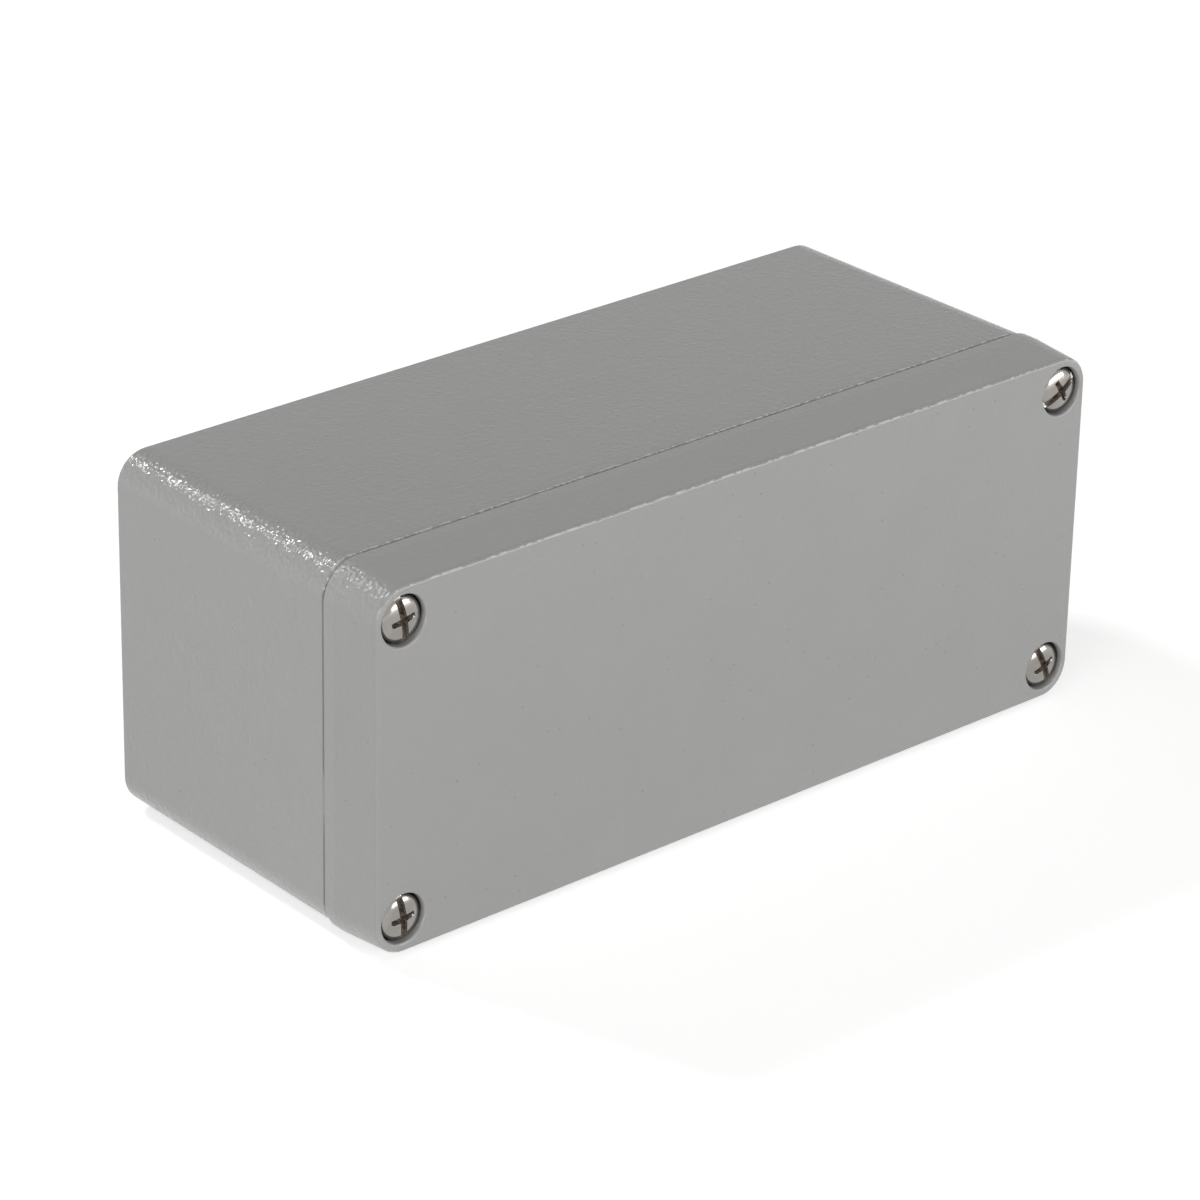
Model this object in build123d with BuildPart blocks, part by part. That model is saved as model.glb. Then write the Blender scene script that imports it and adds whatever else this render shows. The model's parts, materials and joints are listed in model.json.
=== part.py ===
from build123d import *
import os
from math import asin, cos, sin

# A die-cast aluminium junction box, in millimetres.
# X runs along the length, the lid faces -Y, the back of the base faces +Y, +Z is up.
# The box stands on one long narrow side. The origin is at the bottom, centred in X and Y.

# Enclosure
box_length = 180.0
box_height = 75.0
base_depth = 64.0
lid_depth = 14.2
corner_radius = 7.0
wall = 3.6
floor_thickness = 3.6
base_draft = 0.4
back_round = 1.0
seam_gap = 0.7
seam_gap_inset = 0.8
seam_chamfer = 0.25
cavity_draft = 0.5
pocket_round = 3.5
block_round = 4.5

# Lid
lid_skin = 3.2
rim_proud = 0.45
rim_lip = 3.0
lid_taper = 4.6
lid_edge_round = 0.7
lid_seam_round = 0.35

# Seal between lid and base
groove_land = 0.6
groove_width = 2.4
groove_depth = 3.0
gasket_side_gap = 0.1
rib_width = 1.0
rib_height = 0.8
gasket_gap = 0.3

# Lid screws, M5 pan head, held captive by a ring
screw_inset_x = 6.8
screw_inset_z = 7.3
thread_radius = 2.5
thread_clearance = 0.04
thread_engaged = 7.0
tapped_depth = 11.0
tip_chamfer = 0.5
head_radius = 4.6
head_height = 3.0
head_side = 1.8
slot_width = 0.95
slot_depth = 1.2
cross_length = 4.6
cross_depth = 1.7
lid_hole_radius = 2.8
pocket_radius = 5.1
pocket_depth = 3.0
pocket_taper = 4.0
pocket_lip_round = 0.45
pocket_web = 2.2
ring_radius = 3.9
ring_thickness = 1.1
ring_clearance = 0.03
ring_standoff = 0.15
ring_pocket_clearance = 0.4
slot_angles = {"top_left": 101.0, "top_right": 32.0, "bottom_left": 97.0, "bottom_right": 113.0}

# Mounting holes through the base, beside the lid screws
mount_inset_x = 19.5
mount_hole_radius = 2.4
mount_access_radius = 4.3
mount_web = 6.0
mount_core_depth = 8.0
block_wall = 1.0

# Bosses on the floor of the base
rail_boss_radius = 5.0
rail_boss_height = 4.0
plate_boss_radius = 3.4
plate_boss_height = 3.0
plate_boss_inset_x = 34.0
plate_boss_inset_z = 10.5
earth_boss_radius = 5.5
earth_boss_height = 6.0
earth_boss_inset = 17.0
boss_draft = 2.0
boss_tapped_depth = 5.0
plate_tapped_depth = 4.0

# Small fasteners inside, M4
inner_thread_radius = 2.0
inner_head_radius = 3.5
inner_head_height = 2.6
inner_slot_width = 1.0
inner_slot_depth = 1.1
inner_engaged = 4.0
washer_thickness = 0.8
washer_clearance = 0.1
spring_washer_radius = 3.6
spring_washer_thickness = 1.0
spring_washer_gap = 0.9
clamp_plate_thickness = 1.4
clamp_plate_lip = 1.6

# Top-hat rail, 15 x 5.5 mm
rail_length = 112.0
rail_width = 15.0
rail_height = 5.5
rail_channel = 10.5
rail_thickness = 1.0
rail_bend = 0.9
rail_slot_length = 11.0
rail_slot_width = 4.4
rail_slot_count = 5
rail_end_margin = 8.0

# Terminals on the rail, each one pitch wide
terminal_count = 6
terminal_pitch = 6.0
terminal_gap = 0.06
terminal_reach = 13.0
terminal_shoulder = 14.0
terminal_slope_rise = 5.0
terminal_top_reach = 6.2
terminal_height = 24.0
terminal_skin = 1.1
hook_depth = 2.4
hook_width = 1.5
hook_catch = 0.9
hook_clearance = 0.12
marker_width = 4.6
marker_depth = 1.4
cage_height = 7.0
cage_length = 3.8
cage_wall = 0.8
cage_centre = 8.3
cage_clearance = 0.1
chamber_floor = 4.2
entry_size = 3.8
bar_thickness = 0.9
clamp_screw_radius = 1.25
clamp_screw_sides = 8
clamp_screw_reach = 3.0
clamp_head_radius = 1.9
clamp_head_height = 1.5
clamp_shaft_clearance = 0.15
end_plate_thickness = 1.5
bracket_width = 8.0
bracket_reach = 10.5
bracket_height = 14.0
bracket_top_reach = 6.0
bracket_shoulder = 8.0
bracket_screw_radius = 1.9

# Places that follow from the sizes
total_depth = base_depth + lid_depth
front_y = -total_depth / 2
seam_y = front_y + lid_depth
back_y = total_depth / 2
floor_y = back_y - floor_thickness
mid_z = box_height / 2 + rim_proud
screw_x = box_length / 2 - screw_inset_x
screw_z = box_height / 2 - screw_inset_z
mount_x = box_length / 2 - mount_inset_x
seal_width = groove_land + groove_width
block_length = mount_inset_x + mount_access_radius + block_wall + seal_width
block_height = screw_inset_z + mount_access_radius + block_wall + seal_width
head_seat_y = front_y + pocket_depth
ring_pocket_depth = lid_depth - pocket_depth - pocket_web
plate_boss_spacing_x = box_length - 2 * plate_boss_inset_x
plate_boss_spacing_z = box_height - 2 * plate_boss_inset_z
rail_boss_spacing = rail_length - 2 * rail_end_margin
earth_boss_x = earth_boss_inset - box_length / 2
rail_seat_y = floor_y - rail_boss_height
rail_top_y = rail_seat_y - rail_height
earth_seat_y = floor_y - earth_boss_height
rail_washer_radius = (rail_channel - rail_thickness) / 2 - rail_bend - washer_clearance
clamp_plate_size = 2 * (spring_washer_radius + 2 * washer_clearance + clamp_plate_thickness)
bar_bottom = chamber_floor + cage_clearance + cage_wall
cage_middle = chamber_floor + cage_clearance + cage_height / 2
entry_middle = (bar_bottom + bar_thickness + cage_middle + cage_height / 2 - cage_wall) / 2

CORNERS = {"top_left": (-1, 1), "top_right": (1, 1), "bottom_left": (-1, -1), "bottom_right": (1, -1)}


def facing(y, x=0.0, z=0.0):
    """Plane at depth y that looks out of the lid, its origin at x and z from the box's centre."""
    return Plane(origin=(x, y, mid_z + z), x_dir=(1, 0, 0), z_dir=(0, -1, 0))


def keep(part, name):
    """Label a finished piece and write it to its own file."""
    part.label = name
    export_step(part, f"parts/{name}.step")


def rim_outline(y, grow):
    """Outer outline of the box at depth y, grown all round."""
    with BuildSketch(facing(y)) as outline:
        RectangleRounded(box_length + 2 * grow, box_height + 2 * grow, corner_radius + grow)
    return outline


def cavity_outline(y, grow):
    """Outline that passes inside the four corner blocks, grown all round. Cavity and seal follow it."""
    end_x = box_length / 2 - wall + grow
    end_z = box_height / 2 - block_height + grow
    middle_x = box_length / 2 - block_length + grow
    middle_z = box_height / 2 - wall + grow
    with BuildSketch(facing(y)) as outline:
        Rectangle(2 * end_x, 2 * end_z)
        Rectangle(2 * middle_x, 2 * middle_z)
        corners = outline.vertices()
        inner = [v for v in corners if abs(v.X) < middle_x + 0.01 and abs(v.Y) < end_z + 0.01]
        fillet(inner, block_round - grow)
        corners = outline.vertices()
        outer = [v for v in corners if abs(v.X) > end_x - 0.01 or abs(v.Y) > middle_z - 0.01]
        fillet(outer, pocket_round + grow)
    return outline


def seal_band(y, inner, outer):
    """Band that follows the cavity outline between two offsets."""
    with BuildSketch(facing(y)) as band:
        add(cavity_outline(y, outer).sketch_local)
        add(cavity_outline(y, inner).sketch_local, mode=Mode.SUBTRACT)
    return band


def discs(y, radius, spacing_x, spacing_z):
    """Four discs in a rectangle."""
    with BuildSketch(facing(y)) as pattern:
        with GridLocations(spacing_x, spacing_z, 2, 2):
            Circle(radius)
    return pattern


def make_base():
    """Deep tray with solid corner blocks, a rib round its rim and bosses on its floor."""
    with BuildPart() as base:
        shoulder_y = seam_y + seam_gap
        extrude(rim_outline(shoulder_y, 0).sketch, amount=seam_gap - base_depth, taper=base_draft)
        fillet(base.faces().sort_by(Axis.Y)[-1].edges(), back_round)
        chamfer(base.faces().sort_by(Axis.Y)[0].edges(), seam_chamfer)
        extrude(rim_outline(seam_y, -seam_gap_inset).sketch, amount=-seam_gap)
        cavity_depth = base_depth - floor_thickness
        cavity = cavity_outline(seam_y, 0).sketch
        extrude(cavity, amount=-cavity_depth, taper=cavity_draft, mode=Mode.SUBTRACT)
        rib_start = groove_land + (groove_width - rib_width) / 2
        extrude(seal_band(seam_y, rib_start, rib_start + rib_width).sketch, amount=rib_height)
        with BuildSketch(facing(floor_y)):
            with GridLocations(rail_boss_spacing, 0, 2, 1):
                Circle(rail_boss_radius)
        extrude(amount=rail_boss_height, taper=boss_draft)
        with BuildSketch(facing(floor_y)):
            with GridLocations(plate_boss_spacing_x, plate_boss_spacing_z, 2, 2):
                Circle(plate_boss_radius)
        extrude(amount=plate_boss_height, taper=boss_draft)
        with BuildSketch(facing(floor_y, earth_boss_x)):
            Circle(earth_boss_radius)
        extrude(amount=earth_boss_height, taper=boss_draft)
        lid_bore = thread_radius + thread_clearance
        screw_holes = discs(seam_y, lid_bore, 2 * screw_x, 2 * screw_z).sketch
        extrude(screw_holes, amount=-tapped_depth, mode=Mode.SUBTRACT)
        mount_holes = discs(seam_y, mount_hole_radius, 2 * mount_x, 2 * screw_z).sketch
        extrude(mount_holes, amount=-base_depth, mode=Mode.SUBTRACT)
        mount_access = discs(seam_y, mount_access_radius, 2 * mount_x, 2 * screw_z).sketch
        extrude(mount_access, amount=-(base_depth - mount_web), mode=Mode.SUBTRACT)
        bore = inner_thread_radius + thread_clearance
        with BuildSketch(facing(rail_seat_y)):
            with GridLocations(rail_boss_spacing, 0, 2, 1):
                Circle(bore)
        extrude(amount=-boss_tapped_depth, mode=Mode.SUBTRACT)
        with BuildSketch(facing(floor_y - plate_boss_height)):
            with GridLocations(plate_boss_spacing_x, plate_boss_spacing_z, 2, 2):
                Circle(inner_thread_radius)
        extrude(amount=-plate_tapped_depth, mode=Mode.SUBTRACT)
        with BuildSketch(facing(earth_seat_y, earth_boss_x)):
            Circle(bore)
        extrude(amount=-boss_tapped_depth, mode=Mode.SUBTRACT)
    keep(base.part, "base")


def make_lid():
    """Cast lid: straight lip, tapered skirt, screw pockets, gasket groove and hollow underside."""
    with BuildPart() as lid:
        extrude(rim_outline(seam_y, rim_proud).sketch, amount=rim_lip)
        shoulder = rim_outline(seam_y - rim_lip, rim_proud).sketch
        extrude(shoulder, amount=lid_depth - rim_lip, taper=lid_taper)
        fillet(lid.faces().sort_by(Axis.Y)[0].edges(), lid_edge_round)
        fillet(lid.faces().sort_by(Axis.Y)[-1].edges(), lid_seam_round)
        hollow = cavity_outline(seam_y, 0).sketch
        extrude(hollow, amount=lid_depth - lid_skin, taper=cavity_draft, mode=Mode.SUBTRACT)
        groove = seal_band(seam_y, groove_land, seal_width).sketch
        extrude(groove, amount=groove_depth, mode=Mode.SUBTRACT)
        pockets = discs(front_y, pocket_radius, 2 * screw_x, 2 * screw_z).sketch
        extrude(pockets, amount=-pocket_depth, taper=pocket_taper, mode=Mode.SUBTRACT)
        rims = lid.faces().sort_by(Axis.Y)[0].inner_wires().edges()
        fillet(rims, pocket_lip_round)
        holes = discs(head_seat_y, lid_hole_radius, 2 * screw_x, 2 * screw_z).sketch
        extrude(holes, amount=-pocket_web, mode=Mode.SUBTRACT)
        ring_bore = ring_radius + ring_pocket_clearance
        ring_pockets = discs(seam_y, ring_bore, 2 * screw_x, 2 * screw_z).sketch
        extrude(ring_pockets, amount=ring_pocket_depth, mode=Mode.SUBTRACT)
        cores = discs(seam_y, mount_access_radius, 2 * mount_x, 2 * screw_z).sketch
        extrude(cores, amount=mount_core_depth, mode=Mode.SUBTRACT)
    keep(lid.part, "lid")


def make_gasket():
    """Gasket lying on the bottom of the lid's groove, clear of the rib."""
    thickness = groove_depth - rib_height - gasket_gap
    inner = groove_land + gasket_side_gap
    outer = seal_width - gasket_side_gap
    with BuildPart() as gasket:
        extrude(seal_band(seam_y - groove_depth, inner, outer).sketch, amount=-thickness)
    keep(gasket.part, "lid_gasket")


def dome_point(radius, rise):
    """Point half way up an arc that rises from a head's edge to its axis."""
    sphere = (radius ** 2 + rise ** 2) / (2 * rise)
    half_angle = asin(radius / sphere) / 2
    return sphere * sin(half_angle), sphere * (1 - cos(half_angle))


def make_lid_screw(corner):
    """M5 pan-head screw with a slot across its head and a short cross."""
    side_x, side_z = CORNERS[corner]
    x = side_x * screw_x
    z = side_z * screw_z
    shank = pocket_web + ring_pocket_depth + thread_engaged
    rise = head_height - head_side
    dome_x, dome_drop = dome_point(head_radius, rise)
    axis_plane = Plane(origin=(x, head_seat_y, mid_z + z), x_dir=(1, 0, 0), z_dir=(0, 0, 1))
    with BuildPart() as screw:
        with BuildSketch(axis_plane):
            with BuildLine():
                Polyline(
                    (0, -head_height),
                    (0, shank),
                    (thread_radius - tip_chamfer, shank),
                    (thread_radius, shank - tip_chamfer),
                    (thread_radius, 0),
                    (head_radius, 0),
                    (head_radius, -head_side),
                )
                ThreePointArc((head_radius, -head_side), (dome_x, dome_drop - head_height), (0, -head_height))
            make_face()
        revolve(axis=Axis((x, head_seat_y, mid_z + z), (0, 1, 0)))
        with BuildSketch(facing(head_seat_y - head_height, x, z)):
            Rectangle(2 * head_radius + 1, slot_width, rotation=slot_angles[corner])
        extrude(amount=-slot_depth, mode=Mode.SUBTRACT)
        with BuildSketch(facing(head_seat_y - head_height, x, z)):
            Rectangle(slot_width, cross_length, rotation=slot_angles[corner])
            Rectangle(cross_length, slot_width, rotation=slot_angles[corner])
        extrude(amount=-cross_depth, mode=Mode.SUBTRACT)
    keep(screw.part, f"lid_screw_{corner}")


def make_screw_ring(corner):
    """Ring on the lid screw's thread, just above the base, that keeps the screw in the lid."""
    side_x, side_z = CORNERS[corner]
    with BuildPart() as ring:
        with BuildSketch(facing(seam_y - ring_standoff, side_x * screw_x, side_z * screw_z)):
            Circle(ring_radius)
            Circle(thread_radius + ring_clearance, mode=Mode.SUBTRACT)
        extrude(amount=ring_thickness)
    keep(ring.part, f"screw_ring_{corner}")


def make_rail():
    """Perforated top-hat rail bent from sheet, lying on the two rail bosses."""
    half = rail_thickness / 2
    inner = rail_channel / 2 - half
    web_y = rail_seat_y - half
    flange_y = rail_top_y + half
    with BuildPart() as rail:
        with BuildSketch(Plane.YZ.offset(-rail_length / 2)):
            with BuildLine():
                FilletPolyline(
                    (flange_y, mid_z - rail_width / 2),
                    (flange_y, mid_z - inner),
                    (web_y, mid_z - inner),
                    (web_y, mid_z + inner),
                    (flange_y, mid_z + inner),
                    (flange_y, mid_z + rail_width / 2),
                    radius=rail_bend,
                )
            trace(line_width=rail_thickness)
        extrude(amount=rail_length)
        slot_pitch = rail_boss_spacing / (rail_slot_count - 1)
        with BuildSketch(facing(rail_seat_y)):
            with GridLocations(slot_pitch, 0, rail_slot_count, 1):
                SlotOverall(rail_slot_length, rail_slot_width)
        extrude(amount=rail_thickness, mode=Mode.SUBTRACT)
    keep(rail.part, "terminal_rail")


def inner_screw(seat_y, x, reach):
    """Slotted pan-head screw whose head sits at seat_y and whose shank reaches into the base."""
    with BuildSketch(facing(seat_y, x)) as head:
        Circle(inner_head_radius)
    extrude(head.sketch, amount=inner_head_height)
    with BuildSketch(facing(seat_y, x)) as shank:
        Circle(inner_thread_radius)
    extrude(shank.sketch, amount=-reach)
    with BuildSketch(facing(seat_y - inner_head_height, x)) as slot:
        Rectangle(2 * inner_head_radius + 1, inner_slot_width)
    extrude(slot.sketch, amount=-inner_slot_depth, mode=Mode.SUBTRACT)


def make_rail_fasteners():
    """Two screws and two washers that hold the rail on its bosses."""
    washer_y = rail_seat_y - rail_thickness
    reach = washer_thickness + rail_thickness + inner_engaged
    with BuildPart() as screws:
        for side in (-1, 1):
            inner_screw(washer_y - washer_thickness, side * rail_boss_spacing / 2, reach)
    keep(screws.part, "rail_screws")
    with BuildPart() as washers:
        with BuildSketch(facing(washer_y)):
            with GridLocations(rail_boss_spacing, 0, 2, 1):
                Circle(rail_washer_radius)
                Circle(inner_thread_radius + washer_clearance, mode=Mode.SUBTRACT)
        extrude(amount=washer_thickness)
    keep(washers.part, "rail_washers")


def make_earth_connection():
    """Earth screw, split spring washer and lipped clamp plate on the cast earth boss."""
    plate_y = earth_seat_y
    spring_y = plate_y - clamp_plate_thickness
    hole = inner_thread_radius + washer_clearance
    edge = (clamp_plate_size - clamp_plate_thickness) / 2
    with BuildPart() as clamp:
        with BuildSketch(facing(plate_y, earth_boss_x)):
            Rectangle(clamp_plate_size, clamp_plate_size)
            Circle(hole, mode=Mode.SUBTRACT)
        extrude(amount=clamp_plate_thickness)
        with BuildSketch(facing(spring_y, earth_boss_x)):
            with GridLocations(0, 2 * edge, 1, 2):
                Rectangle(clamp_plate_size, clamp_plate_thickness)
        extrude(amount=clamp_plate_lip)
    keep(clamp.part, "earth_clamp_plate")
    with BuildPart() as spring:
        with BuildSketch(facing(spring_y, earth_boss_x)):
            Circle(spring_washer_radius)
            Circle(hole, mode=Mode.SUBTRACT)
            with Locations((spring_washer_radius / 2, 0)):
                Rectangle(spring_washer_radius, spring_washer_gap, mode=Mode.SUBTRACT)
        extrude(amount=spring_washer_thickness)
    keep(spring.part, "earth_spring_washer")
    with BuildPart() as screw:
        reach = clamp_plate_thickness + spring_washer_thickness + inner_engaged
        inner_screw(spring_y - spring_washer_thickness, earth_boss_x, reach)
    keep(screw.part, "earth_screw")


def across_rail(x):
    """Plane across the rail at x. Its first axis runs up the box, its second out of the rail."""
    return Plane(origin=(x, rail_top_y, mid_z), x_dir=(0, 0, 1), z_dir=(1, 0, 0))


def foot_hooks():
    """Two hooks that reach round the rail's flanges, drawn across the rail."""
    inside = rail_width / 2 + hook_clearance
    catch_top = -(rail_thickness + hook_clearance)
    for side in (-1, 1):
        with BuildLine() as hook:
            Polyline(
                (side * inside, 0),
                (side * inside, catch_top),
                (side * (inside - hook_catch), catch_top),
                (side * (inside - hook_catch / 2), -hook_depth),
                (side * (inside + hook_width), -hook_depth),
                (side * (inside + hook_width), 0),
                close=True,
            )
        make_face(hook.edges())


def terminal_profile(x):
    """Terminal outline: foot, straight sides, sloped shoulders and a marker channel on top."""
    with BuildSketch(across_rail(x)) as outline:
        with BuildLine():
            Polyline(
                (-terminal_reach, 0),
                (-terminal_reach, terminal_shoulder),
                (-terminal_top_reach, terminal_shoulder + terminal_slope_rise),
                (-terminal_top_reach, terminal_height),
                (-marker_width / 2, terminal_height),
                (-marker_width / 2, terminal_height - marker_depth),
                (marker_width / 2, terminal_height - marker_depth),
                (marker_width / 2, terminal_height),
                (terminal_top_reach, terminal_height),
                (terminal_top_reach, terminal_shoulder + terminal_slope_rise),
                (terminal_reach, terminal_shoulder),
                (terminal_reach, 0),
                close=True,
            )
        make_face()
        foot_hooks()
    return outline


def terminal_x(index):
    """Left face of a terminal, counted along the rail. The row is centred on the rail."""
    row = (terminal_count + 1) * terminal_pitch + end_plate_thickness
    return index * terminal_pitch - row / 2


def make_terminal(index, name):
    """Housing open on one side, with two cage chambers, wire entries and screw shafts."""
    x = terminal_x(index)
    width = terminal_pitch - terminal_gap
    chamber = cage_length + 2 * cage_clearance
    with BuildPart() as housing:
        extrude(terminal_profile(x).sketch, amount=width)
        with BuildSketch(across_rail(x + terminal_skin)):
            with Locations((0, cage_middle)):
                with GridLocations(2 * cage_centre, 0, 2, 1):
                    Rectangle(chamber, cage_height + 2 * cage_clearance)
            with Locations((0, bar_bottom + bar_thickness / 2)):
                Rectangle(2 * cage_centre, bar_thickness + 2 * cage_clearance)
        extrude(amount=width - terminal_skin, mode=Mode.SUBTRACT)
        middle = x + terminal_skin + (width - terminal_skin) / 2
        for side in (-1, 1):
            entry = Plane(
                origin=(middle, rail_top_y - entry_middle, mid_z + side * terminal_reach),
                x_dir=(1, 0, 0),
                z_dir=(0, 0, side),
            )
            with BuildSketch(entry):
                Rectangle(entry_size, entry_size)
            extrude(amount=-(terminal_reach - cage_centre), mode=Mode.SUBTRACT)
        shaft_top = terminal_shoulder + terminal_slope_rise
        with BuildSketch(facing(rail_top_y - shaft_top, middle)):
            with GridLocations(0, 2 * cage_centre, 1, 2):
                Circle(clamp_head_radius + clamp_shaft_clearance)
        extrude(amount=-(shaft_top - cage_middle), mode=Mode.SUBTRACT)
    keep(housing.part, name)


def make_clamps():
    """Clamp cages, clamp screws and current bars of every terminal, one group of solids each."""
    count = terminal_count + 1
    width = terminal_pitch - terminal_gap - terminal_skin
    cage_half = cage_height / 2
    places = []
    for index in range(count):
        places.append(terminal_x(index) + terminal_skin + width / 2)
    cage_across = width - 2 * cage_clearance
    with BuildPart() as cages:
        for x in places:
            for side in (-1, 1):
                centre = (x, rail_top_y - cage_middle, mid_z + side * cage_centre)
                with BuildSketch(Plane(origin=centre, x_dir=(1, 0, 0), z_dir=(0, 0, 1))):
                    Rectangle(cage_across, cage_height)
                    Rectangle(cage_across - 2 * cage_wall, cage_height - 2 * cage_wall, mode=Mode.SUBTRACT)
                extrude(amount=cage_length / 2, both=True)
        for x in places:
            with BuildSketch(facing(rail_top_y - cage_middle - cage_half, x)):
                with GridLocations(0, 2 * cage_centre, 1, 2):
                    RegularPolygon(clamp_screw_radius + cage_clearance / 2, clamp_screw_sides)
            extrude(amount=-cage_wall, mode=Mode.SUBTRACT)
    keep(cages.part, "clamp_cages")
    with BuildPart() as screws:
        for x in places:
            seat = rail_top_y - cage_middle - cage_half - cage_clearance
            with BuildSketch(facing(seat, x)):
                with GridLocations(0, 2 * cage_centre, 1, 2):
                    Circle(clamp_head_radius)
            extrude(amount=clamp_head_height)
            with BuildSketch(facing(seat, x)):
                with GridLocations(0, 2 * cage_centre, 1, 2):
                    RegularPolygon(clamp_screw_radius, clamp_screw_sides)
            extrude(amount=-clamp_screw_reach)
    keep(screws.part, "clamp_screws")
    with BuildPart() as bars:
        for x in places:
            with BuildSketch(facing(rail_top_y - bar_bottom, x)):
                Rectangle(cage_across - 2 * cage_wall - cage_clearance, 2 * cage_centre + cage_length)
            extrude(amount=bar_thickness)
    keep(bars.part, "current_bars")


def make_end_pieces():
    """End plate that closes the last housing, and the two brackets that grip the rail."""
    plate_x = terminal_x(terminal_count + 1)
    with BuildPart() as plate:
        extrude(terminal_profile(plate_x).sketch, amount=end_plate_thickness)
    keep(plate.part, "end_plate")
    starts = {
        "left": terminal_x(0) - terminal_gap - bracket_width,
        "right": plate_x + end_plate_thickness + terminal_gap,
    }
    for side, x in starts.items():
        with BuildPart() as bracket:
            with BuildSketch(across_rail(x)):
                with BuildLine():
                    Polyline(
                        (-bracket_reach, 0),
                        (-bracket_reach, bracket_shoulder),
                        (-bracket_top_reach, bracket_height),
                        (bracket_top_reach, bracket_height),
                        (bracket_reach, bracket_shoulder),
                        (bracket_reach, 0),
                        close=True,
                    )
                make_face()
                foot_hooks()
            extrude(amount=bracket_width)
            with BuildSketch(facing(rail_top_y - bracket_height, x + bracket_width / 2)):
                Circle(bracket_screw_radius)
            extrude(amount=-(bracket_height - bracket_shoulder), mode=Mode.SUBTRACT)
        keep(bracket.part, f"end_bracket_{side}")


def main():
    os.makedirs("parts", exist_ok=True)
    make_base()
    make_lid()
    make_gasket()
    for corner in CORNERS:
        make_lid_screw(corner)
        make_screw_ring(corner)
    make_rail()
    make_rail_fasteners()
    make_earth_connection()
    make_terminal(0, "earth_terminal")
    for index in range(terminal_count):
        make_terminal(index + 1, f"terminal_{index + 1}")
    make_clamps()
    make_end_pieces()


main()
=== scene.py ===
# %% [markdown]
# # A die-cast aluminium junction box
#
# The box stands on one long narrow side. Its lid faces the viewer, which is -Y, and its back
# faces +Y. The castings, the gasket, the rail and the terminals come from the CAD model, and
# here they get their finishes. The four lid screws are made anew, because a polished head with
# a dirty recess is the one place where the eye stops on this plain grey object.
#
# Everything is in metres, with sizes written in millimetres and multiplied by `mm`.

import json
from math import cos, pi, radians, sin

import bmesh
import bpy
import numpy as np
from mathutils import Matrix, Vector


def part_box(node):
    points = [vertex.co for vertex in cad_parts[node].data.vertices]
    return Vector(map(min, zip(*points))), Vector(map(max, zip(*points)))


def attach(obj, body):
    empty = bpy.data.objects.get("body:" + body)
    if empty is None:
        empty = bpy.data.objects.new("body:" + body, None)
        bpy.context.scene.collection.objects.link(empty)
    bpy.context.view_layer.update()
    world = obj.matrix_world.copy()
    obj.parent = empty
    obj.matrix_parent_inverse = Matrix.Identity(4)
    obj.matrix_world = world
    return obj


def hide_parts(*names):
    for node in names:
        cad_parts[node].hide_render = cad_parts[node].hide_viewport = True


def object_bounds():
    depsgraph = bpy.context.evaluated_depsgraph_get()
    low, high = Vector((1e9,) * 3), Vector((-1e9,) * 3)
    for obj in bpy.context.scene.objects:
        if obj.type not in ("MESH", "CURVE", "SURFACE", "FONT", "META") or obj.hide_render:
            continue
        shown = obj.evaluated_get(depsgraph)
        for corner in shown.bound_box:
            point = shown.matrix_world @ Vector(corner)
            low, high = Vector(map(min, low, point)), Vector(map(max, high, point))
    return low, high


mm = 0.001
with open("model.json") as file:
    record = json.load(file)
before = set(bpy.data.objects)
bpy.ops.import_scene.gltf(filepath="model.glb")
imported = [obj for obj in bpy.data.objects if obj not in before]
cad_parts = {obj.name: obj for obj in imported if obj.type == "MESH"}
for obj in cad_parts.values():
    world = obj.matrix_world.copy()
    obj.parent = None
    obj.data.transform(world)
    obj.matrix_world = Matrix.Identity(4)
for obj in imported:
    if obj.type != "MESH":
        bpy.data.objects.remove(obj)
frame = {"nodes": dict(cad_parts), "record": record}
nodes = frame["nodes"]
cad_low, cad_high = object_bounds()
print("CAD nodes:", len(nodes), "box in mm:", [round(v / mm, 1) for v in cad_high - cad_low])

# %% [markdown]
# ## The camera
#
# A long lens looks down on the box from the front left. Its place was found from the box's own
# edges in the picture, so it is written as the three turns that a photographer would name, and
# as the slide that brings the box off the middle of the frame. The slide is measured along the
# picture's own right, up and forward.

# %% Camera
azimuth, elevation, roll = radians(41.42), radians(25.54), radians(1.20)
slide_right, slide_up, distance = 18.34 * mm, -3.77 * mm, 954.7 * mm
lens_length, sensor_width = 149.36, 36.0

base_low, base_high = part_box("base")
lid_low, lid_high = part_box("lid")
seam_middle = Vector((0, lid_high.y, (lid_low.z + lid_high.z) / 2))

forward = Vector((sin(azimuth) * cos(elevation), cos(azimuth) * cos(elevation), -sin(elevation)))
level_right = Vector((cos(azimuth), -sin(azimuth), 0))
level_up = level_right.cross(forward)
right = cos(roll) * level_right + sin(roll) * level_up
up = cos(roll) * level_up - sin(roll) * level_right
camera_place = seam_middle - slide_right * right - slide_up * up - distance * forward

camera_data = bpy.data.cameras.new("camera")
camera_data.lens, camera_data.sensor_width = lens_length, sensor_width
camera_data.clip_start, camera_data.clip_end = 0.05, 20
camera = bpy.data.objects.new("camera", camera_data)
turn = Matrix((right, up, -forward)).transposed().to_4x4()
camera.matrix_world = Matrix.Translation(camera_place) @ turn
bpy.context.scene.collection.objects.link(camera)
bpy.context.scene.camera = camera
print("camera at", [round(v, 3) for v in camera_place])

# %% [markdown]
# ## Light
#
# Each lamp is a soft box. It is given by the direction it stands in, its distance, its width
# and height, and the brightness that it gives a white card turned towards it, where 1 is plain
# daylight level. A lamp of power P at distance d lights such a card with P / (pi d)^2, so the
# power follows from the brightness that is wanted.
#
# A wide low box on the right lights the lid, and draws the bright stripe across every screw
# head. A wide one on the left lights the end. A small hard one behind the left end glances
# off the rounded edge, and a weak one overhead fills the corner beside it.

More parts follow.
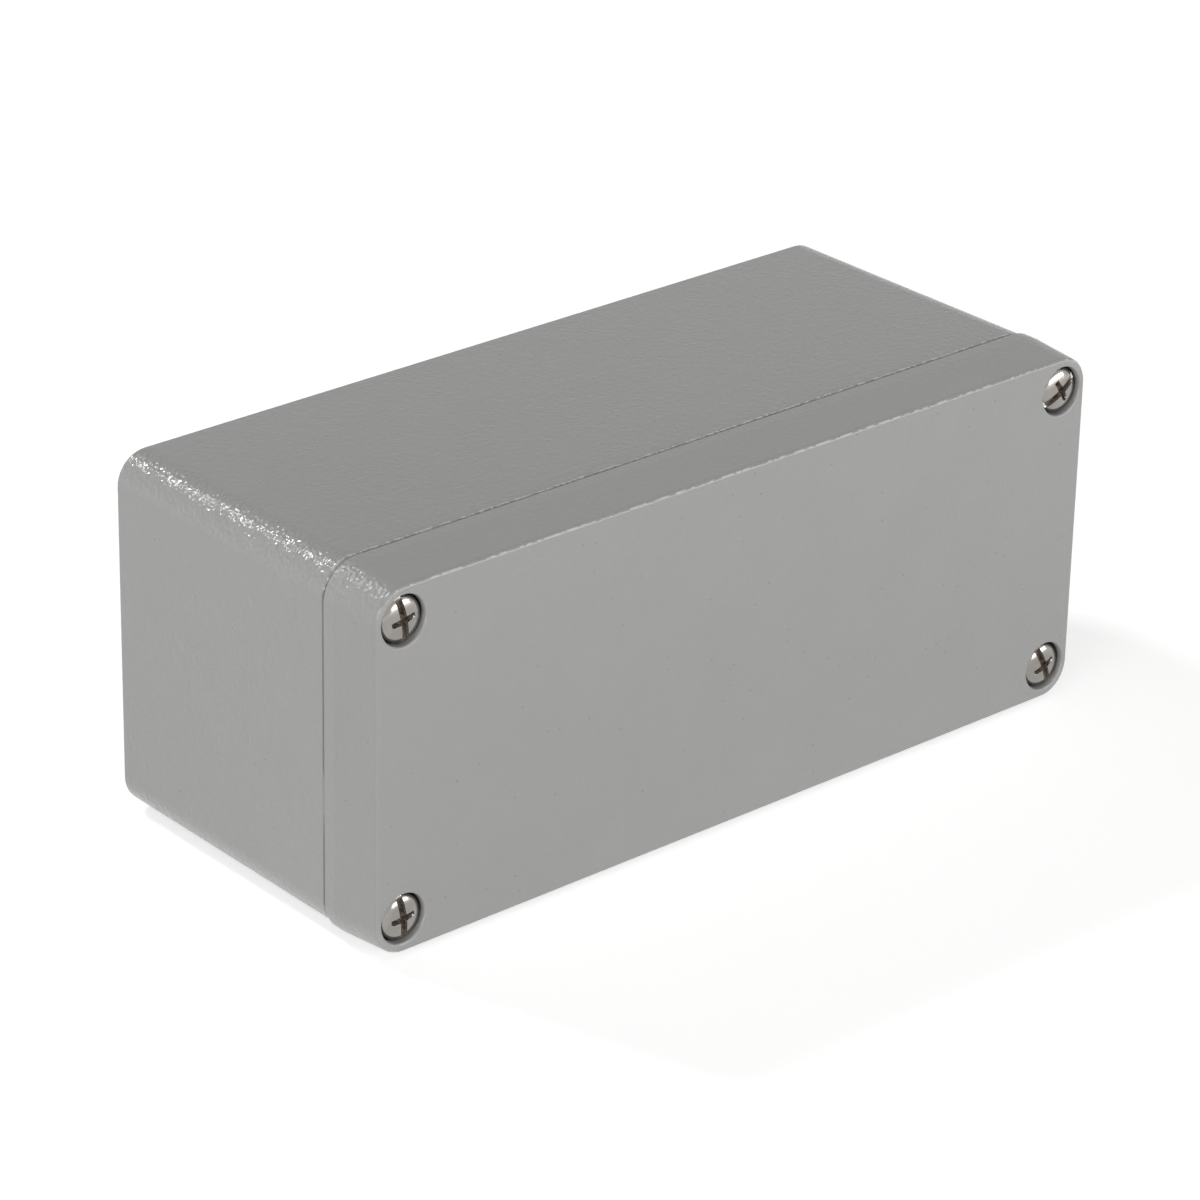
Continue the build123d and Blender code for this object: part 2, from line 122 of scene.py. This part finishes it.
# %% Soft boxes
def soft_box(name, towards, far, size, brightness):
    """Lamp that stands towards a direction and looks at the box's middle."""
    data = bpy.data.lights.new(name, "AREA")
    data.shape, (data.size, data.size_y) = "RECTANGLE", size
    data.energy = brightness * (pi * far) ** 2
    lamp = bpy.data.objects.new(name, data)
    direction = Vector(towards).normalized()
    lamp.location = (cad_low + cad_high) / 2 + direction * far
    lamp.rotation_euler = direction.to_track_quat("Z", "Y").to_euler()
    bpy.context.scene.collection.objects.link(lamp)
    print(name, "power", round(data.energy, 2), "W")
    return lamp


soft_box("right_light", (0.43, -0.87, 0.17), 1.5, (1.3, 0.4), 0.545)
soft_box("left_light", (-0.93, -0.35, 0.14), 1.6, (1.0, 0.5), 0.49)
soft_box("edge_light", (-0.25, 0.68, 0.69), 1.3, (0.16, 0.16), 0.28)
soft_box("overhead_light", (-0.34, -0.26, 0.89), 1.3, (0.4, 0.4), 0.02)


# %% [markdown]
# ## Writing materials as sums
#
# A material is a small sum of patterns. Drawing it node by node hides the sum, so one class
# wraps a socket and lets Python's own operators add the Math nodes. Colours don't go through
# Math nodes, which would turn them grey: they are mixed by `blend`.

# %% A socket that takes part in sums
class Shade:
    """One socket of a node tree. Sums, products and differences of it are Math nodes."""

    def __init__(self, tree, socket=None):
        self.tree, self.socket = tree, socket

    def node(self, kind, output=0, settings=None, **inputs):
        """Adds a node: its settings first, then the values or links of its sockets.

        A socket is given by its name, or as i and its number where names repeat.
        """
        made = self.tree.nodes.new("ShaderNode" + kind)
        for key, value in (settings or {}).items():
            setattr(made, key, value)
        for key, value in inputs.items():
            numbered = key[1:].isdigit()
            socket = made.inputs[int(key[1:]) if numbered else key.replace("_", " ")]
            if isinstance(value, Shade):
                self.tree.links.new(value.socket, socket)
            else:
                socket.default_value = value
        return Shade(self.tree, made.outputs[output])

    def math(self, operation, *others):
        values = {f"i{n}": v for n, v in enumerate((self, *others))}
        return self.node("Math", settings={"operation": operation}, **values)

    def __add__(self, other):
        return self.math("ADD", other)

    def __mul__(self, other):
        return self.math("MULTIPLY", other)

    def __sub__(self, other):
        return self.math("SUBTRACT", other)

    def __rsub__(self, other):
        return (self * -1) + other

    __radd__, __rmul__ = __add__, __mul__

    def step(self, low, high):
        """0 below low, 1 above high, and a soft rise between them."""
        settings = {"interpolation_type": "SMOOTHSTEP"}
        return self.node("MapRange", settings=settings, Value=self, From_Min=low, From_Max=high)

    def band(self, rise, fall):
        """1 between two values: it comes up over the pair `rise` and goes down over `fall`."""
        return self.step(*rise) * (1 - self.step(*fall))

    def blend(self, first, second):
        """Colour that goes from first to second as this value goes from 0 to 1."""
        settings = {"data_type": "RGBA"}
        return self.node("Mix", 2, settings=settings, Factor=self, i6=first, i7=second)


# %% Starting and finishing a material
def colour(red, green, blue):
    return (red, green, blue, 1.0)


def new_material(name):
    """Material with an untouched Principled shader. Gives it, a Shade and its place input."""
    material = bpy.data.materials.new(name)
    material.use_nodes = True
    shade = Shade(material.node_tree)
    return material, shade, shade.node("TexCoord", "Object")


def finish_with(material, **values):
    """Gives values or links to the Principled shader's sockets."""
    tree = material.node_tree
    shader = tree.nodes["Principled BSDF"]
    for key, value in values.items():
        socket = shader.inputs[key.replace("_", " ")]
        if isinstance(value, Shade):
            tree.links.new(value.socket, socket)
        else:
            socket.default_value = value
    print("finish:", material.name, "with", len(tree.nodes), "nodes")
    return material


def noise(place, size, detail=2.0, roughness=0.5):
    """Cloudy pattern whose lumps are about `size` metres across, centred on one half."""
    texture = {"Scale": 1 / size, "Detail": detail, "Roughness": roughness}
    return place.node("TexNoise", Vector=place, **texture)


# %% [markdown]
# ## The powder coat
#
# The paint is sprayed on as a powder and melted in an oven. What it looks like depends on where
# a point lies, so the distances come first: how far the point lies into a rounded edge along X
# and along Z, how far behind the lid's front and behind the seam, and how far from a screw. The
# lid screws lie in mirror image, so one of them stands for all four.

# %% Distances on the castings
corner_radius = 7.0 * mm
pocket_radius, pocket_depth = 5.1 * mm, 3.0 * mm
lower_right = (0.53, -0.85)
lid_depth = lid_high.y - lid_low.y
middle_height = (base_low.z + base_high.z) / 2
screw_low, screw_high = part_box("lid_screw_top_right")
screw_middle = (screw_low + screw_high) / 2


def around_screws(shade, place):
    """Distance from the nearest lid screw's axis, and how far a point lies to its lower right.

    The first is the length of the point's offset from that axis, and the second is the offset's
    dot product with `lower_right`. The offset's part along X is x - sign(x) times the screw's
    own x, and along Z the same from the middle height.
    """
    offsets = []
    reach_up = screw_middle.z - middle_height
    for axis, centre, reach in (("X", 0, screw_middle.x), ("Z", middle_height, reach_up)):
        along = shade.node("SeparateXYZ", axis, Vector=place) - centre
        offsets.append(along - along.math("SIGN") * reach)
    aside, above = offsets
    distance = (aside * aside + above * above).math("SQRT")
    return distance, lower_right[0] * aside + lower_right[1] * above


coat, shade, place = new_material("grey_powder_coat")
across = shade.node("SeparateXYZ", "X", Vector=place).math("ABSOLUTE")
upward = (shade.node("SeparateXYZ", "Z", Vector=place) - middle_height).math("ABSOLUTE")
round_x = (across - (base_high.x - corner_radius)).math("MAXIMUM", 0.0)
round_z = (upward - (base_high.z - middle_height - corner_radius)).math("MAXIMUM", 0.0)
turning = round_x * round_z * (2 / corner_radius**2)
depth = corner_radius - (round_x * round_x + round_z * round_z).math("SQRT")
inward = shade.node("SeparateXYZ", "Y", Vector=place) - lid_low.y
past_seam = shade.node("SeparateXYZ", "Y", Vector=place) - lid_high.y
on_lid = 1 - inward.step(lid_depth - 0.1 * mm, lid_depth)
from_screw, low_side = around_screws(shade, place)
print("top right screw at", [round(v / mm, 1) for v in screw_middle], "mm")

# %% [markdown]
# ### Orange peel
#
# The melted powder keeps a fine orange peel: soft swellings about a millimetre across, with a
# finer grain on top. On the flat faces this hardly shows. On a rounded edge the paint pulls
# away and the grain is stronger: every bump catches the lamp, and the edge breaks up into
# bright crumbs, which is the texture that the eye reads first on this box.

# %% Relief of the coat
peel_depth = 0.17 * mm
swelling = noise(place, 1.4 * mm, 0.0)
grain = noise(place, 0.8 * mm, 0.0)
peel = swelling * 0.3 + grain * (0.4 + 1.4 * turning)
relief = shade.node("Bump", Strength=1.0, Distance=peel_depth, Height=peel)

# %% [markdown]
# ### Tone, specks, painted shade and painted highlights
#
# The grey drifts a little from place to place, and is lighter on the rounded edges and on the
# lid's skirt. A few dark specks are baked in: each cell of a Voronoi pattern may hold one at its
# middle. The seam's bottom is painted pale along the top and the underside, as painted light
# against its shade, and gets painted shade at the ends. Beside the seam and along the lid's front
# edge there are short dashes of painted highlight.

# %% Tone of the coat
paler_grey = colour(0.40, 0.398, 0.395)
cloud = noise(place, 14 * mm, 3.0)
tone = cloud.blend(colour(0.330, 0.328, 0.326), colour(0.348, 0.346, 0.344))
tone = (turning * 0.6).blend(tone, paler_grey)

cell = {"Vector": place, "Scale": 1 / (3 * mm), "Randomness": 1.0}
from_middle = shade.node("TexVoronoi", "Distance", **cell)
has_speck = shade.node("TexVoronoi", "Color", **cell).step(0.50, 0.56)
speck = (1 - from_middle.step(0.040, 0.060)) * has_speck
tone = speck.blend(tone, colour(0.19, 0.185, 0.18))
skirt = on_lid * inward.step(0.8 * mm, 1.4 * mm) * round_z.step(3 * mm, 4 * mm)
tone = (skirt * 0.35).blend(tone, paler_grey)

# %% Seam light and dashes of painted highlight
# Painted light: the seam's bottom is pale along the top and the underside, against its shade.
in_seam = past_seam.band((-0.25 * mm, -0.1 * mm), (0.8 * mm, 0.95 * mm))
in_seam = in_seam * (1 - depth.step(1.2 * mm, 1.6 * mm))
patchy = noise(place, 20 * mm).step(0.4, 0.55)
at_ends = round_x.step(5.5 * mm, 7 * mm) * (0.15 + 0.35 * patchy)
tone = (in_seam * (1 - at_ends)).blend(tone, colour(0.46, 0.45, 0.44))

seam_edge = past_seam.band((0.8 * mm, 0.9 * mm), (1.4 * mm, 1.6 * mm))
seam_edge = seam_edge * round_z.step(4 * mm, 6.5 * mm)
front_edge = inward.band((0.04 * mm, 0.1 * mm), (0.22 * mm, 0.32 * mm))
front_edge = front_edge * round_z.step(4.4 * mm, 5.0 * mm) * 0.7
dashes = noise(place, 1.4 * mm).step(0.46, 0.56)
# Painted highlight: pale dashes beside the seam and along the lid's front edge.
painted_highlight = seam_edge.math("MAXIMUM", front_edge) * dashes
tone = painted_highlight.blend(tone, colour(0.64, 0.63, 0.62))

# %% [markdown]
# ### Painted shade
#
# Painted shade darkens the walls of the four pockets deeper in, less of it on the lower right,
# and the seam at both ends of the box.

# %% Painted shade and the finished coat
# Painted shade: the pocket walls and the seam's ends are darkened in the colour.
in_pocket = 1 - from_screw.step(pocket_radius + 0.15 * mm, pocket_radius + 0.35 * mm)
pocket_wall_shade = inward.band((0.8 * mm, 1.9 * mm), (pocket_depth + 0.2 * mm, pocket_depth + 0.6 * mm))
painted_shade = in_pocket * pocket_wall_shade * (1 - 0.8 * low_side.step(2.2 * mm, 4.4 * mm))
painted_shade = painted_shade.math("MAXIMUM", in_seam * at_ends)
finish_with(
    coat,
    Base_Color=painted_shade.blend(tone, colour(0.045, 0.04, 0.034)),
    Roughness=0.15 + 0.08 * swelling + 0.13 * on_lid,
    Normal=relief,
)

# %% [markdown]
# ## Polished stainless steel
#
# The heads are turned and tumbled bright, so they are close to a mirror, with a faint haze of
# scratches. Brown dirt sits in the recess. Below the rim on the lower right the same brown is
# painted shade, and the cut edges get a painted highlight in a pale colour. How deep a point lies
# under the dome, in millimetres, is stored in the mesh as the attribute `recess`, and both the
# dirt and the painted highlight on the edges follow it.

# %% Screw material
steel, shade, place = new_material("polished_stainless")
recess = shade.node("Attribute", "Fac", settings={"attribute_name": "recess"})
smear = noise(place, 0.5 * mm, 4.0, 0.65)
from_screw, low_side = around_screws(shade, place)
# Painted shade: the rim is darkened with the brown towards the lower right.
lower_rim_shade = from_screw.step(3.5 * mm, 4.4 * mm) * low_side.step(2.0 * mm, 4.2 * mm)
dirt_and_shade = (recess + smear * 0.9 + lower_rim_shade * 0.6).step(0.75, 1.15)
metal = noise(place, 1.5 * mm, 3.0)
metal = metal.blend(colour(0.275, 0.262, 0.246), colour(0.34, 0.324, 0.304))
# Painted highlight: the cut edges of the slot and the cross are pale.
cut_edge_highlight = recess.band((0.02, 0.06), (0.3, 0.5))
metal = cut_edge_highlight.blend(metal, colour(0.80, 0.78, 0.75))
scratch = noise(place, 0.12 * mm, 2.0)
relief = shade.node("Bump", Strength=0.5, Distance=0.01 * mm, Height=scratch + dirt_and_shade * 3)
brown = smear.step(0.35, 0.7).blend(colour(0.13, 0.1, 0.075), colour(0.035, 0.025, 0.016))
finish_with(
    steel,
    Base_Color=dirt_and_shade.blend(metal, brown),
    Metallic=1 - dirt_and_shade * 0.85,
    Roughness=0.12 + 0.45 * dirt_and_shade + 0.08 * smear,
    Normal=relief,
)


# %% [markdown]
# ## Zinc, brass, rubber and polyamide
#
# Inside the box are parts that only show once the lid is off. Zinc plating is a thin grey-blue
# skin with a cloudy shine, nickel-plated brass is warmer, the gasket is dull closed foam, and
# the terminals are moulded, so their skin has the fine etched grain of the mould.

# %% Inner materials
def plated(name, dark, light, roughness):
    """Metal with a cloudy shine and fine rolling marks along X."""
    material, shade, place = new_material(name)
    cloud = noise(place, 3 * mm, 4.0, 0.6)
    along = shade.node("Mapping", Vector=place, Scale=(0.05, 1, 1))
    marks = noise(along, 0.1 * mm, 2.0)
    relief = shade.node("Bump", Strength=0.4, Distance=0.01 * mm, Height=marks)
    tone = cloud.blend(colour(*dark), colour(*light))
    shine = roughness + 0.15 * cloud
    return finish_with(material, Base_Color=tone, Metallic=1.0, Roughness=shine, Normal=relief)


def moulded(name, dark, light, roughness, grain_size, grain_depth):
    """Plastic or rubber with an etched grain and a faint drift of tone."""
    material, shade, place = new_material(name)
    grain = noise(place, grain_size, 3.0)
    relief = shade.node("Bump", Strength=0.6, Distance=grain_depth, Height=grain)
    tone = noise(place, 6 * mm, 3.0).blend(colour(*dark), colour(*light))
    shine = roughness + 0.12 * grain
    return finish_with(material, Base_Color=tone, Roughness=shine, Normal=relief)


def banded(name):
    """Earth terminal: green polyamide with slanting yellow bands, drawn by a sine of Y + Z."""
    material, shade, place = new_material(name)
    depth_along, height_along = (shade.node("SeparateXYZ", axis, Vector=place) for axis in "YZ")
    wave = ((depth_along + height_along) * (2 * pi / (9 * mm))).math("SINE")
    grain = noise(place, 0.3 * mm, 3.0)
    relief = shade.node("Bump", Strength=0.6, Distance=0.02 * mm, Height=grain)
    tone = wave.step(-0.06, 0.06).blend(colour(0.07, 0.26, 0.06), colour(0.66, 0.55, 0.05))
    return finish_with(material, Base_Color=tone, Roughness=0.4 + 0.12 * grain, Normal=relief)


# %% Every node gets the finish of its slot
foam_tones = (0.018, 0.018, 0.019), (0.03, 0.03, 0.031)
ring_tones = (0.012, 0.012, 0.012), (0.02, 0.02, 0.02)
housing_tones = (0.34, 0.34, 0.31), (0.38, 0.38, 0.35)
finishes = {
    "coat": coat,
    "stainless": steel,
    "zinc": plated("zinc_plate", (0.50, 0.52, 0.56), (0.64, 0.66, 0.70), 0.26),
    "brass": plated("nickel_plated_brass", (0.60, 0.54, 0.42), (0.72, 0.67, 0.56), 0.22),
    "gasket": moulded("foam_rubber", *foam_tones, 0.75, 0.35 * mm, 0.05 * mm),
    "ring": moulded("ring_rubber", *ring_tones, 0.5, 0.2 * mm, 0.01 * mm),
    "housing": moulded("grey_polyamide", *housing_tones, 0.42, 0.3 * mm, 0.02 * mm),
    "earth_housing": banded("green_yellow_polyamide"),
}
for part in frame["record"]["subparts"]:
    mesh = nodes[part["node"]].data
    mesh.materials.clear()
    mesh.materials.append(finishes[part["material_slot"]])
print("finishes:", len(finishes))


# %% [markdown]
# ## Lid screws
#
# Each screw is one closed surface. Its head is a height over a flat grid: the grid's lines run
# along and across the slot, and lie close together at the walls of the slot and of the cross,
# so that these walls come out straight and sharp. Below the rim the surface is turned like any
# screw on a lathe, and the thread is a wave in its radius that climbs one pitch a turn.

# %% Sizes of a screw, in the screw's own millimetres
head_radius, head_height, head_side, dome_power = 4.6, 3.0, 1.5, 2.15
slot_half, slot_floor = 0.6, 1.8
cross_half, cross_middle, cross_rise, arm_taper = 2.5, 1.1, 0.35, 0.12
wall, brim = 0.03, 0.14
thread_radius, thread_depth, pitch, plain_length = 2.5, 0.49, 0.8, 2.4
chamfer = 0.12
slot_angles = {"top_left": 101, "top_right": 32, "bottom_left": 97, "bottom_right": 113}

# %% Fineness of its grids
fine_half, fine_share = 2.9, 0.8
rim_steps, shank_steps = 14, 260
sharp_angle = radians(38)
same_point = 0.002 * mm


# %% Rows and grids
def stretches(*spans):
    """One rising row of numbers from stretches (start, end, steps) that follow on."""
    rows = [np.linspace(start, end, steps, endpoint=False) for start, end, steps in spans]
    return np.concatenate([*rows, [spans[-1][1]]])


def towards_rim():
    """Steps from 0 to 1 that get closer together, by a sine over a quarter turn."""
    return np.sin(np.linspace(0, pi / 2, rim_steps + 1)[1:])


def mirrored(half, axis):
    """A row from the middle outwards, with its mirror image joined on before it."""
    flipped = -np.flip(half, axis)
    return np.concatenate([np.delete(flipped, -1, axis), half], axis)


def grid_faces(rows, columns, closed=False):
    """Quads of a grid with that many rows and columns of points. A closed one joins its ends."""
    steps = np.arange(rows - 1), np.arange(columns - (not closed))
    row, column = np.meshgrid(*steps, indexing="ij")
    beside = (column + 1) % columns
    corners = (row * columns + column, row * columns + beside)
    corners += ((row + 1) * columns + beside, (row + 1) * columns + column)
    return np.stack(corners, -1).reshape(-1, 4)


# %% [markdown]
# ### The head
#
# A pan head is low and round, so its height is a power curve of the radius. The slot and the
# cross are cut into it by distance: where a point lies inside their outline, the height falls
# to their floor, and just outside it the edge is rounded by the brim.

# %% Height of the head
def soft_wall(distance):
    """1 inside a recess, 0 outside it, with a steep wall and a rounded brim between.

    With s the share of the way from the brim's outside to the wall's foot, it is 3s - 2s^1.5.
    """
    share = np.clip((brim - distance) / (brim + wall), 0, 1)
    return share * (3 - 2 * share**0.5)


def dome(radius):
    """Height of a pan head over its seat: its side, and a cap that turns down at the rim.

    The cap is its own height times the root of 1 - (radius / head radius)^dome_power.
    """
    share = np.clip(radius / head_radius, 0, 1)
    return head_side + (head_height - head_side) * (1 - share**dome_power) ** 0.5


def head_surface():
    """Grid over the head: along and across the slot, its height, and its depth below the dome.

    Lines across the slot keep their place. Along the slot the fine part is squeezed to stay
    inside the head's chord, and the rest reaches from there to the rim.
    """
    half = stretches(
        (0, slot_half - wall, 4),
        (slot_half - wall, slot_half + brim, 5),
        (slot_half + brim, cross_half - wall, 12),
        (cross_half - wall, cross_half + brim, 5),
        (cross_half + brim, fine_half, 2),
    )
    outside = fine_half + (head_radius - fine_half) * towards_rim()
    across = mirrored(np.concatenate([half, outside]), 0)[:, None]
    chord = np.sqrt(np.clip(head_radius**2 - across**2, 0, None))
    inner = np.minimum(fine_half, fine_share * chord)
    outer = inner + (chord - inner) * towards_rim()
    along = mirrored(np.concatenate([half / fine_half * inner, outer], axis=1), 1)
    across = np.broadcast_to(across, along.shape)

    plain = dome(np.hypot(along, across))
    slot = soft_wall(np.abs(across) - slot_half)
    arm = np.maximum(np.abs(across) - slot_half, np.abs(along) - cross_half)
    tapered = slot_half - arm_taper * np.abs(across)
    other_arm = np.maximum(np.abs(along) - tapered, np.abs(across) - cross_half)
    cross = soft_wall(np.minimum(arm, other_arm))
    cross_floor = cross_middle + cross_rise * np.hypot(along, across)
    height = plain + slot * np.minimum(slot_floor - plain, 0)
    height = height + cross * np.minimum(cross_floor - height, 0)
    return along, across, height, plain - height


# %% [markdown]
# ### The shank
#
# The side of the head, the seat, the shank and the thread are one turned surface that takes
# over the head's own rim points, so the two join without a gap. The thread starts and ends by
# growing out of the shank over one pitch.

# %% Shank and thread
def shank_surface(angles, length):
    """Radius and height of each ring below the rim, from the side of the head to the tip.

    The thread's radius is the core plus the thread's depth times a triangle wave. The wave's
    phase is the way along over the pitch, less the angle over a full turn.
    """
    way = stretches((0, length, shank_steps))[:, None]
    phase = (way / pitch - angles / (2 * pi)) % 1
    ridge = 1 - np.abs(2 * phase - 1)
    grown = np.clip((way - plain_length) / pitch, 0, 1) * np.clip((length - way) / pitch, 0, 1)
    core = thread_radius - thread_depth
    plain = thread_depth * (1 - grown) * (way < plain_length)
    shank = core + plain + thread_depth * ridge * grown
    rim = [
        (head_radius, 0.9 * head_side),
        (head_radius, chamfer),
        (head_radius - chamfer, 0),
        (thread_radius, 0),
    ]
    rim_radius, rim_height = np.array(rim).T[..., None] * np.ones_like(angles)
    tip = np.zeros_like(angles)[None]
    radius = np.concatenate([rim_radius, shank, tip])
    height = np.concatenate([rim_height, -way * np.ones_like(angles), tip - length])
    return radius, height


# %% One screw
def screw_points(length):
    """Points and faces of a screw in its own axes, and how deep each point lies in a recess."""
    along, across, height, recess = head_surface()
    plane = along + 1j * across
    rim = np.concatenate([plane[:, -1], plane[-2:0:-1, 0]])
    angles = np.unwrap(np.angle(rim))
    radius, below = shank_surface(angles, length)
    head = np.stack([along, across, height], -1).reshape(-1, 3)
    top_ring = np.stack([rim.real, rim.imag, np.full(len(rim), dome(head_radius))], -1)
    turned = np.stack([radius * np.cos(angles), radius * np.sin(angles), below], -1)
    turned = np.concatenate([top_ring, turned.reshape(-1, 3)])
    head_faces = grid_faces(*along.shape)
    body_faces = grid_faces(len(turned) // len(rim), len(rim), closed=True)[:, ::-1]
    faces = np.concatenate([head_faces, body_faces + len(head)])
    recess = np.concatenate([recess.ravel(), np.zeros(len(turned))])
    return np.concatenate([head, turned]), faces, recess


def close_up(mesh):
    """Merges the points that coincide and turns the faces outwards. Gives the open edges left."""
    shell = bmesh.new()
    shell.from_mesh(mesh)
    bmesh.ops.remove_doubles(shell, verts=shell.verts, dist=same_point)
    bmesh.ops.recalc_face_normals(shell, faces=shell.faces)
    open_edges = sum(not edge.is_manifold for edge in shell.edges)
    shell.to_mesh(mesh)
    shell.free()
    return open_edges


def lid_screw(corner, material):
    """Builds one screw in its CAD node's place, turned to its own slot angle."""
    low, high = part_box("lid_screw_" + corner)
    seat = Vector(((low.x + high.x) / 2, lid_low.y + pocket_depth, (low.z + high.z) / 2))
    points, faces, recess = screw_points((high.y - seat.y) / mm)
    slope = radians(slot_angles[corner])
    axes = np.array([[cos(slope), 0, sin(slope)], [-sin(slope), 0, cos(slope)], [0, -1, 0]])
    mesh = bpy.data.meshes.new("screw_" + corner)
    mesh.from_pydata(points * mm @ axes + np.array(seat), [], faces.tolist())
    mesh.attributes.new("recess", "FLOAT", "POINT").data.foreach_set("value", recess)
    open_edges = close_up(mesh)
    mesh.shade_smooth()
    mesh.set_sharp_from_angle(angle=sharp_angle)
    mesh.materials.append(material)
    screw = bpy.data.objects.new("polished_screw_" + corner, mesh)
    bpy.context.scene.collection.objects.link(screw)
    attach(screw, "screw_" + corner)
    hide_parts("lid_screw_" + corner)
    print(screw.name, len(mesh.polygons), "faces,", open_edges, "open edges")
    return screw


# %% Four screws
for corner in slot_angles:
    lid_screw(corner, steel)


# %% [markdown]
# ## Floor and background
#
# The picture was cut out on pure white. The floor is a white card: it takes the lamps' light
# and keeps the box's shadow. For the camera and for mirrors it also glows, a little near the
# box and more beyond the lamps' reach, so that it is white all the way. The world around is
# white to them as well, and a soft grey sky to the rest.

# %% Floor
floor_size = 8.0
floor_grey, near_glow, far_glow = 0.9, 0.6, 0.9
glow_from, glow_to = 0.25, 1.1


def seen_directly(shade):
    """1 for rays of the camera, of mirrors and through glass, 0 for the rays that light things."""
    seen = shade.node("LightPath", "Is Camera Ray")
    for kind in ("Is Glossy Ray", "Is Transmission Ray"):
        seen = seen.math("MAXIMUM", shade.node("LightPath", kind))
    return seen


corner_points = [(-1, -1, 0), (1, -1, 0), (1, 1, 0), (-1, 1, 0)]
floor_mesh = bpy.data.meshes.new("floor")
floor_mesh.from_pydata([Vector(p) * floor_size / 2 for p in corner_points], [], [(0, 1, 2, 3)])
floor = bpy.data.objects.new("floor", floor_mesh)
bpy.context.scene.collection.objects.link(floor)

card, shade, place = new_material("white_card")
away = shade.node("VectorMath", 1, settings={"operation": "LENGTH"}, i0=place)
glow = away.step(glow_from, glow_to).blend(colour(*[near_glow] * 3), colour(*[far_glow] * 3))
finish_with(
    card,
    Base_Color=colour(*[floor_grey] * 3),
    Roughness=1.0,
    Specular_IOR_Level=0.0,
    Emission_Color=seen_directly(shade).blend(colour(0, 0, 0), glow),
    Emission_Strength=1.0,
)
floor_mesh.materials.append(card)

# %% Sky
sky_level = 0.19
world = bpy.data.worlds.new("studio")
world.use_nodes = True
bpy.context.scene.world = world
sky_tone = colour(sky_level, 0.98 * sky_level, 0.96 * sky_level)
glow = seen_directly(Shade(world.node_tree)).blend(sky_tone, colour(1, 1, 1))
background = world.node_tree.nodes["Background"]
world.node_tree.links.new(glow.socket, background.inputs["Color"])
print("floor", floor_size, "m, sky", sky_level)

# %% Colour management
bpy.context.scene.view_settings.view_transform = "Standard"
